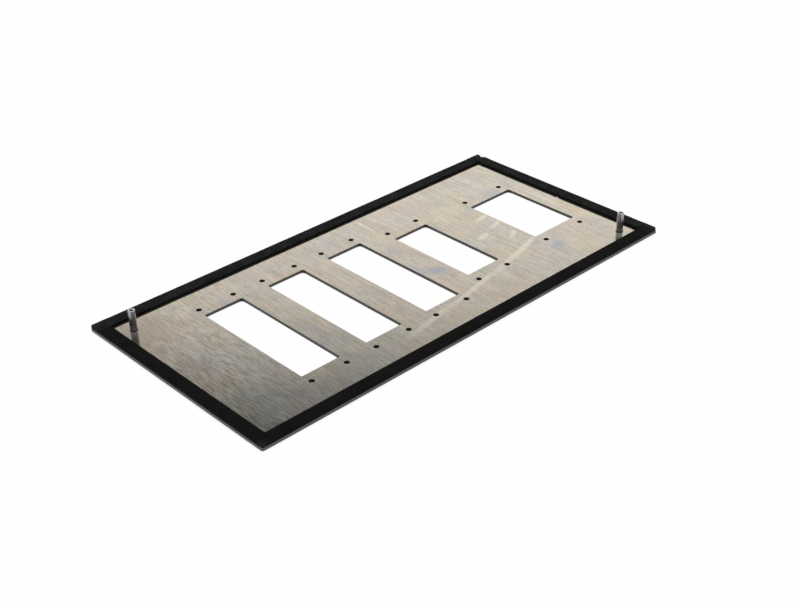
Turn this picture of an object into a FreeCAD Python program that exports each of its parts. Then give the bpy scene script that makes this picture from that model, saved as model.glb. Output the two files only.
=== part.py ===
"""Connector panel: a sheet-metal plate with five connector cut-outs, a foam gasket and two hex standoffs.

The row frame: X along the plate, Y across it, Z up out of the gasket side. The origin is the middle of
the plate's outer face, which lies at z = 0. Far is +Y, near is -Y, left is -X and right is +X.
All lengths are in millimetres and all angles in degrees.
"""
import FreeCAD, Part
import math
import os
import re
import Sketcher

# Driving dimensions: the name, the value and what it sets
SIZES = (
    # The plate and its openings, laid out from the left end and from the near edge
    ("plate_thickness", 2.3, "sheet of the plate"),
    ("plate_corner_radius", 1.5, "outer corners of the plate and the gasket"),
    ("edge_break", 0.1, "deburred edges of the plate"),
    ("left_web", 69.5, "left end of the plate to the first cut-out"),
    ("cutout_width", 35.0, "along the plate, each of the four narrow cut-outs"),
    ("cutout_web", 25.0, "plate between neighbouring narrow cut-outs"),
    ("wide_cutout_web", 48.0, "plate between the narrow cut-outs and the wide one"),
    ("wide_cutout_width", 47.5, "along the plate, the wide cut-out"),
    ("right_web", 30.5, "wide cut-out to the right end of the plate"),
    ("near_web", 44.25, "near edge of the plate to the long cut-outs"),
    ("long_cutout_length", 112.0, "across the plate, the three long cut-outs"),
    ("far_web", 45.25, "long cut-outs to the far edge of the plate"),
    ("short_cutout_length", 82.5, "across the plate, the short cut-out"),
    ("wide_cutout_length", 73.0, "across the plate, the wide cut-out"),
    ("wide_cutout_shift", -0.75, "the wide cut-out's middle from the middle of the row"),
    ("cutout_corner_radius", 1.0, "corners of the narrow cut-outs"),
    ("wide_corner_radius", 1.0, "corners of the wide cut-out"),
    # The connector screws' holes, placed from the cut-outs
    ("connector_hole_diameter", 4.3, "clearance for M4"),
    ("hole_inset", 1.5, "hole centre inside the narrow cut-out's side, along the plate"),
    ("long_hole_overhang", 9.0, "hole centre beyond the long cut-out's end"),
    ("short_hole_overhang", 10.25, "hole centre beyond the short cut-out's end"),
    ("wide_hole_inset", 2.75, "hole centre inside the wide cut-out's side"),
    ("wide_hole_overhang", 9.2, "hole centre beyond the wide cut-out's end"),
    # The foam gasket
    ("gasket_width", 10.8, "strip width"),
    ("gasket_thickness", 2.0, "strip thickness"),
    ("gasket_edge_radius", 0.4, "soft long edges of the strip"),
    ("gasket_mitre_gap", 0.2, "gap between two strips, across their mitre"),
    ("gasket_trim", 4.5, "tip cut off the right strip at its far end, along its outer edge"),
    # The standoffs
    ("standoff_across_flats", 5.0, "hexagon"),
    ("standoff_height", 17.0, "above the plate"),
    ("standoff_chamfer", 0.45, "turned chamfer at both ends, measured on the end face"),
    ("standoff_chamfer_rise", 0.3, "the same chamfer, measured along the standoff"),
    ("standoff_solid_middle", 3.0, "between the two tapped holes"),
    ("thread_core_diameter", 2.5, "tapped hole for M3"),
    ("thread_mouth", 0.3, "countersink at the mouth of a tapped hole"),
    ("left_standoff_end_gap", 7.85, "gasket to the left standoff's flat, along the plate"),
    ("right_standoff_end_gap", 9.75, "gasket to the right standoff's flat, along the plate"),
    ("left_standoff_side_gap", 11.65, "gasket to the left standoff's flat, across the plate"),
    ("right_standoff_side_gap", 7.15, "gasket to the right standoff's flat, across the plate"),
    ("left_standoff_turn", -14.0, "the left hexagon about its own axis"),
    ("right_standoff_turn", -9.0, "the right hexagon about its own axis"),
    # The countersunk screws that hold the standoffs
    ("screw_hole_play", 0.45, "the plate's hole beyond the core of the thread, on the radius"),
    ("screw_head_diameter", 5.5, "countersunk head"),
    ("screw_head_sink", 0.1, "head below the plate's outer face"),
    ("screw_play", 0.02, "between the screw and what it sits in, on the radius"),
    ("screw_tip_gap", 1.5, "screw tip to the end of the standoff's tapped hole"),
    ("screw_tip_chamfer", 0.4, "end of the screw"),
    ("screw_socket_across_flats", 2.0, "hexagon socket in the head"),
    ("screw_socket_depth", 1.0, "hexagon socket in the head"),
)

NARROW_CUTOUTS = 4
DRILL_POINT_SLOPE = math.tan(math.radians(31.0))
TOLERANCE = 1e-6

doc = FreeCAD.newDocument("ConnectorPanel")
sheet = doc.addObject("Spreadsheet::Sheet", "Sizes")
for row, (alias, value, meaning) in enumerate(SIZES, start=1):
    sheet.set("A%d" % row, alias)
    sheet.set("B%d" % row, repr(value))
    sheet.set("C%d" % row, meaning)
    sheet.setAlias("B%d" % row, alias)
doc.recompute()


def sized(words):
    """An expression over the sheet: each driving dimension's name in the words gets the sheet before it."""
    names = {alias for alias, value, meaning in SIZES}

    def with_sheet(found):
        return "Sizes." + found.group() if found.group() in names else found.group()

    return re.sub(r"[a-z_]+", with_sheet, words)


# Lengths that follow from the driving ones
NARROW_ROW = "%d * cutout_width + %d * cutout_web" % (NARROW_CUTOUTS, NARROW_CUTOUTS - 1)
PLATE_LENGTH = "(left_web + %s + wide_cutout_web + wide_cutout_width + right_web)" % NARROW_ROW
PLATE_WIDTH = "(near_web + long_cutout_length + far_web)"
ROW_Y = "((near_web - far_web) / 2)"
HEX_RADIUS = "(standoff_across_flats / sqrt(3))"
LEFT_STANDOFF_X = (
    "(gasket_width + left_standoff_end_gap + standoff_across_flats / 2 - %s / 2)" % PLATE_LENGTH
)
LEFT_STANDOFF_Y = (
    "(%s / 2 - gasket_width - left_standoff_side_gap - standoff_across_flats / 2)" % PLATE_WIDTH
)
RIGHT_STANDOFF_X = (
    "(%s / 2 - gasket_width - right_standoff_end_gap - standoff_across_flats / 2)" % PLATE_LENGTH
)
RIGHT_STANDOFF_Y = (
    "(gasket_width + right_standoff_side_gap + standoff_across_flats / 2 - %s / 2)" % PLATE_WIDTH
)
MITRE_STEP = "(gasket_mitre_gap / sqrt(2))"
ROUNDED_TIP = ("plate_corner_radius", "(plate_corner_radius * (1 - 1 / sqrt(2)))")
TRIMMED_TIP = ("gasket_trim", "(gasket_trim / 2)")
TAPPED_DEPTH = "((standoff_height - standoff_solid_middle) / 2)"
THREAD_RADIUS = "(thread_core_diameter / 2)"
SCREW_HOLE = "(thread_core_diameter + 2 * screw_hole_play)"


def new_body(name):
    """An empty sub-part; its label names its file."""
    body = doc.addObject("PartDesign::Body", name)
    body.Label = name
    return body


def place(body, x="0", y="0", z="0", turn=None):
    """Put the finished sub-part where it sits in the assembly."""
    for axis, words in (("x", x), ("y", y), ("z", z)):
        body.setExpression("Placement.Base." + axis, sized(words))
    if turn:
        body.Placement = FreeCAD.Placement(
            FreeCAD.Vector(0, 0, 0), FreeCAD.Rotation(FreeCAD.Vector(0, 0, 1), 1)
        )
        body.setExpression("Placement.Rotation.Angle", sized(turn))


def new_sketch(body, name, plane="XY_Plane", height=None):
    """A sketch on one of the body's own planes, raised to a height where one is given."""
    sketch = body.newObject("Sketcher::SketchObject", name)
    origin_plane = next(item for item in body.Origin.OriginFeatures if item.Role == plane)
    sketch.AttachmentSupport = [(origin_plane, "")]
    sketch.MapMode = "FlatFace"
    if height:
        sketch.setExpression("AttachmentOffset.Base.z", sized(height))
    return sketch


def fix_point(sketch, geometry, point, x_words, y_words):
    """Tie one point of the sketch to two expressions, or to an axis where one is zero."""
    label = "g%dp%d" % (geometry, point)
    for kind, axis_line, words in (("DistanceX", -2, x_words), ("DistanceY", -1, y_words)):
        expression = sized(words)
        value = float(sketch.evalExpression(expression))
        if abs(value) < TOLERANCE:
            sketch.addConstraint(Sketcher.Constraint("PointOnObject", geometry, point, axis_line))
            continue
        index = sketch.addConstraint(Sketcher.Constraint(kind, -1, 1, geometry, point, value))
        sketch.renameConstraint(index, label + kind)
        sketch.setExpression("Constraints." + label + kind, expression)


def draw_outline(sketch, points):
    """A closed outline of straight lines through points that are pairs of expressions."""
    values = [
        FreeCAD.Vector(
            float(sketch.evalExpression(sized(x_words))), float(sketch.evalExpression(sized(y_words))), 0
        )
        for x_words, y_words in points
    ]
    first = sketch.GeometryCount
    count = len(points)
    for index in range(count):
        sketch.addGeometry(Part.LineSegment(values[index], values[(index + 1) % count]), False)
    for index in range(count):
        following = first + (index + 1) % count
        sketch.addConstraint(Sketcher.Constraint("Coincident", first + index, 2, following, 1))
    for index, (x_words, y_words) in enumerate(points):
        fix_point(sketch, first + index, 1, x_words, y_words)


def draw_rectangle(sketch, x_middle, y_middle, length, width):
    """A rectangle about a middle point."""
    left = "%s - %s / 2" % (x_middle, length)
    right = "%s + %s / 2" % (x_middle, length)
    near = "%s - %s / 2" % (y_middle, width)
    far = "%s + %s / 2" % (y_middle, width)
    draw_outline(sketch, [(left, near), (right, near), (right, far), (left, far)])


def draw_circle(sketch, x_words, y_words, diameter):
    """A circle of a given diameter about a point."""
    centre = FreeCAD.Vector(
        float(sketch.evalExpression(sized(x_words))), float(sketch.evalExpression(sized(y_words))), 0
    )
    expression = sized(diameter)
    value = float(sketch.evalExpression(expression))
    index = sketch.addGeometry(Part.Circle(centre, FreeCAD.Vector(0, 0, 1), value / 2), False)
    fix_point(sketch, index, 3, x_words, y_words)
    size = sketch.addConstraint(Sketcher.Constraint("Diameter", index, value))
    sketch.renameConstraint(size, "g%ddiameter" % index)
    sketch.setExpression("Constraints.g%ddiameter" % index, expression)


def draw_hexagon(sketch, across_flats):
    """A regular hexagon about the origin, with two corners on the X axis."""
    radius = "%s / sqrt(3)" % across_flats
    half_flat = "%s / 2" % across_flats
    draw_outline(
        sketch,
        [
            (radius, "0"),
            (radius + " / 2", half_flat),
            ("-1 * %s / 2" % radius, half_flat),
            ("-1 * " + radius, "0"),
            ("-1 * %s / 2" % radius, "-1 * " + half_flat),
            (radius + " / 2", "-1 * " + half_flat),
        ],
    )


def pad(body, sketch, name, length):
    """Grow a solid upwards from the sketch."""
    feature = body.newObject("PartDesign::Pad", name)
    feature.Profile = sketch
    feature.setExpression("Length", sized(length))
    doc.recompute()
    return feature


def cut_through(body, sketch, name):
    """Cut the sketch right through the solid, both ways from its plane."""
    before = body.Shape.Volume
    feature = body.newObject("PartDesign::Pocket", name)
    feature.Profile = sketch
    feature.Type = "ThroughAll"
    feature.SideType = "Symmetric"
    doc.recompute()
    if body.Shape.Volume >= before:
        raise RuntimeError(name + " cut nothing")
    return feature


def turned(body, sketch, kind, name):
    """Turn a half profile, drawn on the XZ plane, about the Z axis."""
    feature = body.newObject("PartDesign::" + kind, name)
    feature.Profile = sketch
    feature.ReferenceAxis = (sketch, ["V_Axis"])
    feature.Angle = 360.0
    doc.recompute()
    return feature


def dress_edges(body, kind, name, size_property, words, wanted):
    """Fillet or chamfer the edges of the body's shape that pass a test."""
    base = body.Tip
    names = ["Edge%d" % n for n, edge in enumerate(base.Shape.Edges, start=1) if wanted(edge)]
    if not names:
        raise RuntimeError(name + " found no edges")
    feature = body.newObject("PartDesign::" + kind, name)
    feature.Base = (base, names)
    feature.setExpression(size_property, sized(words))
    doc.recompute()
    return feature


def is_upright(edge):
    """A straight edge along Z."""
    start = edge.Vertexes[0].Point
    end = edge.Vertexes[-1].Point
    level = math.hypot(start.x - end.x, start.y - end.y)
    return level < TOLERANCE and abs(start.z - end.z) > TOLERANCE


def lies_at_height(edge, height):
    """Every point of the edge at one height."""
    box = edge.BoundBox
    return abs(box.ZMin - height) < TOLERANCE and abs(box.ZMax - height) < TOLERANCE


def number(words):
    """The value of an expression over the sheet."""
    return float(sheet.evalExpression(sized(words)))


# Places of the cut-outs along the plate, and each one's own sizes
FIRST_X = "(left_web + cutout_width / 2 - %s / 2)" % PLATE_LENGTH
CUTOUT_PITCH = "(cutout_width + cutout_web)"
WIDE_X = "(%s / 2 - right_web - wide_cutout_width / 2)" % PLATE_LENGTH
WIDE_Y = "(%s + wide_cutout_shift)" % ROW_Y
LONG_HOLES = ("(cutout_width - 2 * hole_inset)", "(long_cutout_length + 2 * long_hole_overhang)")
SHORT_HOLES = ("(cutout_width - 2 * hole_inset)", "(short_cutout_length + 2 * short_hole_overhang)")
WIDE_HOLES = (
    "(wide_cutout_width - 2 * wide_hole_inset)",
    "(wide_cutout_length + 2 * wide_hole_overhang)",
)


def cutout_x(index):
    """The middle of a narrow cut-out, counted from the left."""
    return "(%s + %d * %s)" % (FIRST_X, index, CUTOUT_PITCH)


# Name, middle, size, corner radius and hole pattern of each cut-out, from the left
CUTOUTS = (
    ("long_cutout_1", cutout_x(0), ROW_Y, "cutout_width", "long_cutout_length", "cutout", LONG_HOLES),
    ("long_cutout_2", cutout_x(1), ROW_Y, "cutout_width", "long_cutout_length", "cutout", LONG_HOLES),
    ("long_cutout_3", cutout_x(2), ROW_Y, "cutout_width", "long_cutout_length", "cutout", LONG_HOLES),
    ("short_cutout", cutout_x(3), ROW_Y, "cutout_width", "short_cutout_length", "cutout", SHORT_HOLES),
    ("wide_cutout", WIDE_X, WIDE_Y, "wide_cutout_width", "wide_cutout_length", "wide", WIDE_HOLES),
)


def make_plate():
    """The sheet with its cut-outs, screw holes, rounded corners and deburred edges."""
    body = new_body("panel_plate")
    outline = new_sketch(body, "plate_outline")
    draw_rectangle(outline, "0", "0", PLATE_LENGTH, PLATE_WIDTH)
    pad(body, outline, "plate_sheet", "plate_thickness")
    dress_edges(body, "Fillet", "plate_corners", "Radius", "plate_corner_radius", is_upright)

    for name, x_middle, y_middle, width, length, corner, holes in CUTOUTS:
        sketch = new_sketch(body, name + "_outline")
        draw_rectangle(sketch, x_middle, y_middle, width, length)
        cut_through(body, sketch, name)
        reach = number(width) / 2 + number("edge_break")
        middle = number(x_middle)
        dress_edges(
            body,
            "Fillet",
            name + "_corners",
            "Radius",
            corner + "_corner_radius",
            lambda edge: is_upright(edge) and abs(edge.Vertexes[0].X - middle) < reach,
        )
    for name, x_middle, y_middle, width, length, corner, (across, along) in CUTOUTS:
        sketch = new_sketch(body, name + "_hole_places")
        for x_side in ("-", "+"):
            for y_side in ("-", "+"):
                x_words = "%s %s %s / 2" % (x_middle, x_side, across)
                y_words = "%s %s %s / 2" % (y_middle, y_side, along)
                draw_circle(sketch, x_words, y_words, "connector_hole_diameter")
        cut_through(body, sketch, name + "_holes")

    # The deburring runs round every loop of the outer face and round the openings of the inner one
    thickness = number("plate_thickness")
    reach_x = number(PLATE_LENGTH) / 2
    reach_y = number(PLATE_WIDTH) / 2
    side = number("gasket_width")

    def is_deburred(edge):
        if lies_at_height(edge, 0.0):
            return True
        middle = edge.BoundBox.Center
        inside = abs(middle.x) < reach_x - side and abs(middle.y) < reach_y - side
        return lies_at_height(edge, thickness) and inside

    dress_edges(body, "Chamfer", "deburred_edges", "Size", "edge_break", is_deburred)

    screw_holes = new_sketch(body, "standoff_hole_places")
    draw_circle(screw_holes, LEFT_STANDOFF_X, LEFT_STANDOFF_Y, SCREW_HOLE)
    draw_circle(screw_holes, RIGHT_STANDOFF_X, RIGHT_STANDOFF_Y, SCREW_HOLE)
    cut_through(body, screw_holes, "standoff_holes")
    cut_countersink(body, "left", LEFT_STANDOFF_X, LEFT_STANDOFF_Y)
    cut_countersink(body, "right", RIGHT_STANDOFF_X, RIGHT_STANDOFF_Y)
    return body


def cut_countersink(body, side_name, x_words, y_words):
    """The conical seat of a standoff's screw in the plate's outer face."""
    before = body.Shape.Volume
    mouth = "(screw_head_diameter / 2 + screw_head_sink + screw_play)"
    sketch = new_sketch(body, side_name + "_countersink_profile", "XZ_Plane")
    sketch.setExpression("AttachmentOffset.Base.x", sized(x_words))
    sketch.setExpression("AttachmentOffset.Base.z", sized("-1 * %s" % y_words))
    draw_outline(sketch, [("0", "0"), (mouth, "0"), ("0", mouth)])
    turned(body, sketch, "Groove", side_name + "_countersink")
    if body.Shape.Volume >= before:
        raise RuntimeError(side_name + " countersink cut nothing")


def make_strip(name, run_axis, side, far_tip=ROUNDED_TIP):
    """A gasket strip along one edge of the plate, mitred at both ends.

    A tip is the pair of lengths that it loses along the strip's outer edge and at the mitre.
    """
    body = new_body(name)
    outline = new_sketch(body, name + "_outline")
    runs_along_x = run_axis == "x"
    half_run = "%s / 2" % (PLATE_LENGTH if runs_along_x else PLATE_WIDTH)
    edge = "%d * gasket_width / 2" % side

    points = []
    for end, (outer_loss, mitre_loss) in ((1, far_tip), (-1, ROUNDED_TIP)):
        corners = [
            ("%d * (%s - %s)" % (end, half_run, outer_loss), edge),
            (
                "%d * (%s - %s - %s)" % (end, half_run, mitre_loss, MITRE_STEP),
                "%s - %d * %s" % (edge, side, mitre_loss),
            ),
            ("%d * (%s - gasket_width - %s)" % (end, half_run, MITRE_STEP), "-1 * %s" % edge),
        ]
        points += corners if end > 0 else corners[::-1]
    if not runs_along_x:
        points = [(across, along) for along, across in points]
    draw_outline(outline, points)
    pad(body, outline, name + "_foam", "gasket_thickness")
    soften_top(body, name)

    place_words = "%d * (%s - gasket_width) / 2" % (side, PLATE_WIDTH if runs_along_x else PLATE_LENGTH)
    if runs_along_x:
        place(body, y=place_words, z="plate_thickness")
    else:
        place(body, x=place_words, z="plate_thickness")
    return body


def soften_top(body, name):
    """The soft upper edges of a foam strip."""
    top = number("gasket_thickness")
    dress_edges(
        body,
        "Fillet",
        name + "_soft_edges",
        "Radius",
        "gasket_edge_radius",
        lambda edge: lies_at_height(edge, top),
    )


def make_standoff(name, x_words, y_words, turn):
    """A hexagonal spacer, tapped at both ends, its ends chamfered on the lathe."""
    body = new_body(name)
    hexagon = new_sketch(body, name + "_hexagon")
    draw_hexagon(hexagon, "standoff_across_flats")
    pad(body, hexagon, name + "_bar", "standoff_height")

    bores = new_sketch(body, name + "_tapped_holes", "XZ_Plane")
    mouth = "(%s + thread_mouth)" % THREAD_RADIUS
    point = "%s * %f" % (THREAD_RADIUS, DRILL_POINT_SLOPE)
    draw_outline(
        bores,
        [
            ("0", "standoff_height"),
            (mouth, "standoff_height"),
            (THREAD_RADIUS, "standoff_height - thread_mouth"),
            (THREAD_RADIUS, "standoff_height - " + TAPPED_DEPTH),
            ("0", "standoff_height - %s - %s" % (TAPPED_DEPTH, point)),
        ],
    )
    draw_outline(
        bores,
        [
            ("0", "0"),
            ("0", "%s + %s" % (TAPPED_DEPTH, point)),
            (THREAD_RADIUS, TAPPED_DEPTH),
            (THREAD_RADIUS, "thread_mouth"),
            (mouth, "0"),
        ],
    )
    turned(body, bores, "Groove", name + "_tapping")

    # The chamfer's cone starts inside the flats on the end face and clears the corners
    chamfers = new_sketch(body, name + "_chamfer_profile", "XZ_Plane")
    face_radius = "(standoff_across_flats / 2 - standoff_chamfer / 2)"
    beyond = "(%s + standoff_chamfer)" % HEX_RADIUS
    rise = "((%s - %s) * standoff_chamfer_rise / standoff_chamfer)" % (beyond, face_radius)
    draw_outline(
        chamfers,
        [
            (face_radius, "standoff_height"),
            (beyond, "standoff_height"),
            (beyond, "standoff_height - " + rise),
        ],
    )
    draw_outline(chamfers, [(face_radius, "0"), (beyond, rise), (beyond, "0")])
    turned(body, chamfers, "Groove", name + "_chamfers")
    place(body, x_words, y_words, "plate_thickness", turn)
    return body


def make_screw(name, x_words, y_words, turn):
    """A countersunk screw, flush in the plate's outer face, that reaches up into the standoff."""
    body = new_body(name)
    shank_radius = "(%s - screw_play)" % THREAD_RADIUS
    head_radius = "(screw_head_diameter / 2)"
    cone_end = "(screw_head_sink + %s - %s)" % (head_radius, shank_radius)
    tip = "(plate_thickness + %s - screw_tip_gap)" % TAPPED_DEPTH
    profile = new_sketch(body, name + "_profile", "XZ_Plane")
    draw_outline(
        profile,
        [
            ("0", "screw_head_sink"),
            (head_radius, "screw_head_sink"),
            (shank_radius, cone_end),
            (shank_radius, tip + " - screw_tip_chamfer"),
            (shank_radius + " - screw_tip_chamfer", tip),
            ("0", tip),
        ],
    )
    turned(body, profile, "Revolution", name + "_turned")
    before = body.Shape.Volume
    socket = new_sketch(body, name + "_socket_outline", height="screw_head_sink")
    draw_hexagon(socket, "screw_socket_across_flats")
    feature = body.newObject("PartDesign::Pocket", name + "_socket")
    feature.Profile = socket
    feature.Reversed = True
    feature.setExpression("Length", sized("screw_socket_depth"))
    doc.recompute()
    if body.Shape.Volume >= before:
        raise RuntimeError(name + " socket cut nothing")
    place(body, x_words, y_words, "0", turn)
    return body


bodies = [
    make_plate(),
    make_strip("gasket_far", "x", 1),
    make_strip("gasket_near", "x", -1),
    make_strip("gasket_left", "y", -1),
    make_strip("gasket_right", "y", 1, TRIMMED_TIP),
    make_standoff("standoff_left", LEFT_STANDOFF_X, LEFT_STANDOFF_Y, "left_standoff_turn"),
    make_standoff("standoff_right", RIGHT_STANDOFF_X, RIGHT_STANDOFF_Y, "right_standoff_turn"),
    make_screw("standoff_screw_left", LEFT_STANDOFF_X, LEFT_STANDOFF_Y, "left_standoff_turn"),
    make_screw("standoff_screw_right", RIGHT_STANDOFF_X, RIGHT_STANDOFF_Y, "right_standoff_turn"),
]
doc.recompute()

for item in doc.Objects:
    if "Invalid" in item.State or "Error" in item.State:
        raise RuntimeError("%s failed: %s" % (item.Name, item.State))
for body in bodies:
    if body.Shape.isNull() or not body.Shape.isValid() or len(body.Shape.Solids) != 1:
        raise RuntimeError(body.Label + " is not one valid solid")

os.makedirs("parts", exist_ok=True)
for body in bodies:
    body.Shape.exportStep(os.path.join("parts", body.Label + ".step"))
    box = body.Shape.BoundBox
    print(
        "%-22s volume %9.1f  x %8.2f %8.2f  y %8.2f %8.2f  z %6.2f %6.2f"
        % (body.Label, body.Shape.Volume, box.XMin, box.XMax, box.YMin, box.YMax, box.ZMin, box.ZMax)
    )
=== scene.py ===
"""The looks of the connector panel: bright rolled sheet, a black foam gasket and two hexagon standoffs."""

import math

import bpy
from mathutils import Euler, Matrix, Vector


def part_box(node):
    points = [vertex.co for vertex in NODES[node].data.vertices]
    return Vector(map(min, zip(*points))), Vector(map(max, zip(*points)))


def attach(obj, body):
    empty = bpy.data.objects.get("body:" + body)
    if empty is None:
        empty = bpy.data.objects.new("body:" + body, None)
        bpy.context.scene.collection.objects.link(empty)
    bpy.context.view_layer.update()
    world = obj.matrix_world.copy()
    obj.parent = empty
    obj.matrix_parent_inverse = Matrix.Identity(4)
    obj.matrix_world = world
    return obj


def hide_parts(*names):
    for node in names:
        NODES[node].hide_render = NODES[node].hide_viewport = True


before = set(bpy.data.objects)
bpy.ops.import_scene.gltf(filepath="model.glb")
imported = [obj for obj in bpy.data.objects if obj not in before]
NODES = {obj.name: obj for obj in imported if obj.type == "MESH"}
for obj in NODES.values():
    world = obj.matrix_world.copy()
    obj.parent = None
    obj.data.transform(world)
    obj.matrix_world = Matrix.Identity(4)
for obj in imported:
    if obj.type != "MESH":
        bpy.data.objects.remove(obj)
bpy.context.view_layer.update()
MM = 0.001

# The camera that the photograph's edges and holes give, in millimetres and degrees
CAMERA_PLACE = (-589.63, -644.23, 514.56)
CAMERA_TURN = (58.4136, 0.9557, -43.5634)
CAMERA_LENS = 58.832
SENSOR_WIDTH = 36.0

# The sheet lies centred on the origin, so the highest corner of its box gives its half sizes and its top
HALF_LENGTH, HALF_WIDTH, SHEET_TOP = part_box("panel_plate")[1]

# The foam strips
FOAM_WIDTH = 10.8 * MM
FOAM_CUT_SPACING = 5 * MM
FOAM_EDGE_RADIUS = 0.55 * MM
FOAM_WAVER = 0.1 * MM
FOAM_SHADE_ANGLE = math.radians(40)
MITRE_STEP = 0.08 * MM / math.sqrt(2)
TIP_SOFTENING = 0.4 * MM
CUT_TOLERANCE = 0.001 * MM

# A strip may waver except this near its inner corners and below this share of its thickness
FREE_MARGIN = 2 * MM
FREE_ABOVE = 0.3

# A strip's tip, measured across from its outer edge and along from its end
TIP_ACROSS = 5 * MM
TIP_ALONG = 6 * MM

# How far a tip laps past the corner, and what it loses along the strip's outer edge and at the mitre
ROUNDED_TIP = (0.0, 1.5 * MM, 0.44 * MM)
BLUNT_TIP = (0.0, 2.4 * MM, 0.8 * MM)
LAPPING_TIP = (3.8 * MM, 0.6 * MM, 0.6 * MM)
TRIMMED_TIP = (-3.8 * MM, 4.5 * MM, 2.25 * MM)

# The right strip's trimmed tip is pressed down, from one place to another short of the far edge
TIP_PRESS = 1.3 * MM
PRESS_START = 9 * MM
PRESS_FULL = 7 * MM

# A nick in the right strip's upper edge: place along the strip, half length, push inwards and push down
RIGHT_NICK = (-3.0 * MM, 1.6 * MM, 0.8 * MM, 0.6 * MM)

# The standoffs' tapped holes
THREAD_CORE_RADIUS = 1.25 * MM
THREAD_ROOT_RADIUS = 1.5 * MM
THREAD_PITCH = 0.5 * MM
THREAD_TURNS = 12
THREAD_STEPS = 24

# Half the height of a thread's ridge at its root and at its crest, as shares of the pitch
RIDGE_ROOT = 0.44
RIDGE_CREST = 0.08

# The standoffs' bars
BAR_EDGE_RADIUS = 0.12 * MM
BAR_WELD = 0.002 * MM
BAR_FLAT_ANGLE = math.radians(2)
BAR_EDGE_ANGLE = math.radians(28)
BAR_SHADE_ANGLE = math.radians(25)

# Finishes, and the painted shade and light, as linear colours
ALUMINIUM_DARK = (0.52, 0.50, 0.468)
ALUMINIUM_LIGHT = (0.98, 0.95, 0.90)
ALUMINIUM_PALE = (1.0, 0.97, 0.88)
TINT_WARM = (1.0, 0.965, 0.92)
TINT_COOL = (0.935, 0.965, 1.0)
TINT_PINK = (1.0, 0.965, 0.978)
TINT_GREEN = (0.975, 1.0, 0.965)
STAIN_BLUE = (0.53, 0.575, 0.72)
STAIN_MAUVE = (0.58, 0.55, 0.62)
STAIN_STRAW = (0.84, 0.77, 0.57)
STAIN_ROSE = (0.78, 0.66, 0.65)
STAIN_BROWN = (0.55, 0.475, 0.415)
STAIN_GREEN = (0.58, 0.62, 0.58)
STAIN_PALE = (0.92, 0.93, 0.86)
# A painted contact shadow where the standoffs stand on the sheet
FOOT_PAINTED_SHADE = (0.035, 0.033, 0.030)
CUT_EDGE = (0.105, 0.103, 0.098)
# The walls of the openings: a duller cut finish with painted shade for the hollow
CUT_WALL_DULL_AND_SHADE = (0.075, 0.073, 0.069)
FOAM_BLACK = (0.0022, 0.0022, 0.0023)
FOAM_GREY = (0.0052, 0.0052, 0.0054)
# A pale grey: real dust at the corners, and painted light on the tops of the far and right strips
FOAM_DUST_AND_LIGHT = (0.028, 0.028, 0.029)
NICKEL = (0.37, 0.375, 0.385)
NICKEL_DULL = (0.255, 0.26, 0.27)
NICKEL_END = (0.80, 0.795, 0.785)
ZINC = (0.60, 0.61, 0.62)
ZINC_DULL = (0.42, 0.43, 0.44)

# Where a finish, a painted light or a painted shade changes over: from the sheet's outer edge inwards,
# from the sheet's face, and round a foot
RIM_START = 2.2 * MM
RIM_FULL = 1.6 * MM
CORNER_DUST = 9 * MM
# Painted light on the tops of the far and right strips, from the sheet's outer edge inwards
TOP_LIGHT_START = FOAM_WIDTH + 0.6 * MM
TOP_LIGHT_FULL = FOAM_WIDTH - 0.4 * MM
# The painted contact shadow fades out across this ring round each foot on the sheet, and over this height
# up each standoff
FOOT_RING = (2.9 * MM, 3.4 * MM)
FOOT_RISE = (SHEET_TOP + 0.2 * MM, SHEET_TOP + 0.7 * MM)

# The floor, and the shadow where the panel meets it
FLOOR_HALF = 12.0
FLOOR_DROP = 0.15 * MM
FLOOR_WHITE = (0.92, 0.92, 0.92)
FLOOR_SHADE = (0.05, 0.05, 0.05)
FLOOR_GLOW = 0.98
CONTACT_REACH = 5 * MM
CONTACT_RANGE = (0.43, 0.54)

# The lamp overhead
LAMP_PLACE = (0.25, 0.15, 1.7)
LAMP_SIZE = 1.5
LAMP_POWER = 11.0

# The far side of the room, seen in the sheet, lies this way from +X towards +Y
FAR_HEADING = math.radians(47)

# The room's colours, from the horizon at 0 to overhead at 1
FAR_SIDE = (
    (0.00, (0.99, 0.985, 0.98)),
    (0.36, (0.90, 0.845, 0.77)),
    (0.469, (0.845, 0.79, 0.715)),
    (0.53, (0.635, 0.60, 0.545)),
    (0.57, (0.285, 0.28, 0.27)),
    (0.605, (0.085, 0.093, 0.094)),
    (0.64, (0.10, 0.105, 0.105)),
    (0.72, (0.32, 0.32, 0.315)),
    (0.84, (0.66, 0.655, 0.64)),
    (1.00, (0.78, 0.775, 0.76)),
)
NEAR_SIDE = (
    (0.00, (0.99, 0.985, 0.98)),
    (0.26, (0.86, 0.855, 0.84)),
    (0.41, (0.16, 0.16, 0.155)),
    (0.48, (0.05, 0.05, 0.05)),
    (0.61, (0.05, 0.05, 0.05)),
    (0.71, (0.28, 0.28, 0.275)),
    (0.84, (0.62, 0.615, 0.60)),
    (1.00, (0.78, 0.775, 0.76)),
)


def clear_selection():
    """Nothing selected and nothing in edit mode, so an operator acts only on what it is given."""
    if bpy.context.object and bpy.context.object.mode != "OBJECT":
        bpy.ops.object.mode_set(mode="OBJECT")
    bpy.ops.object.select_all(action="DESELECT")


def select_only(piece):
    """One piece selected and active."""
    clear_selection()
    piece.select_set(True)
    bpy.context.view_layer.objects.active = piece


def settle(piece):
    """The piece's place goes into its mesh, and its object to the origin."""
    select_only(piece)
    bpy.ops.object.transform_apply(location=True, rotation=True, scale=True)


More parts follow.
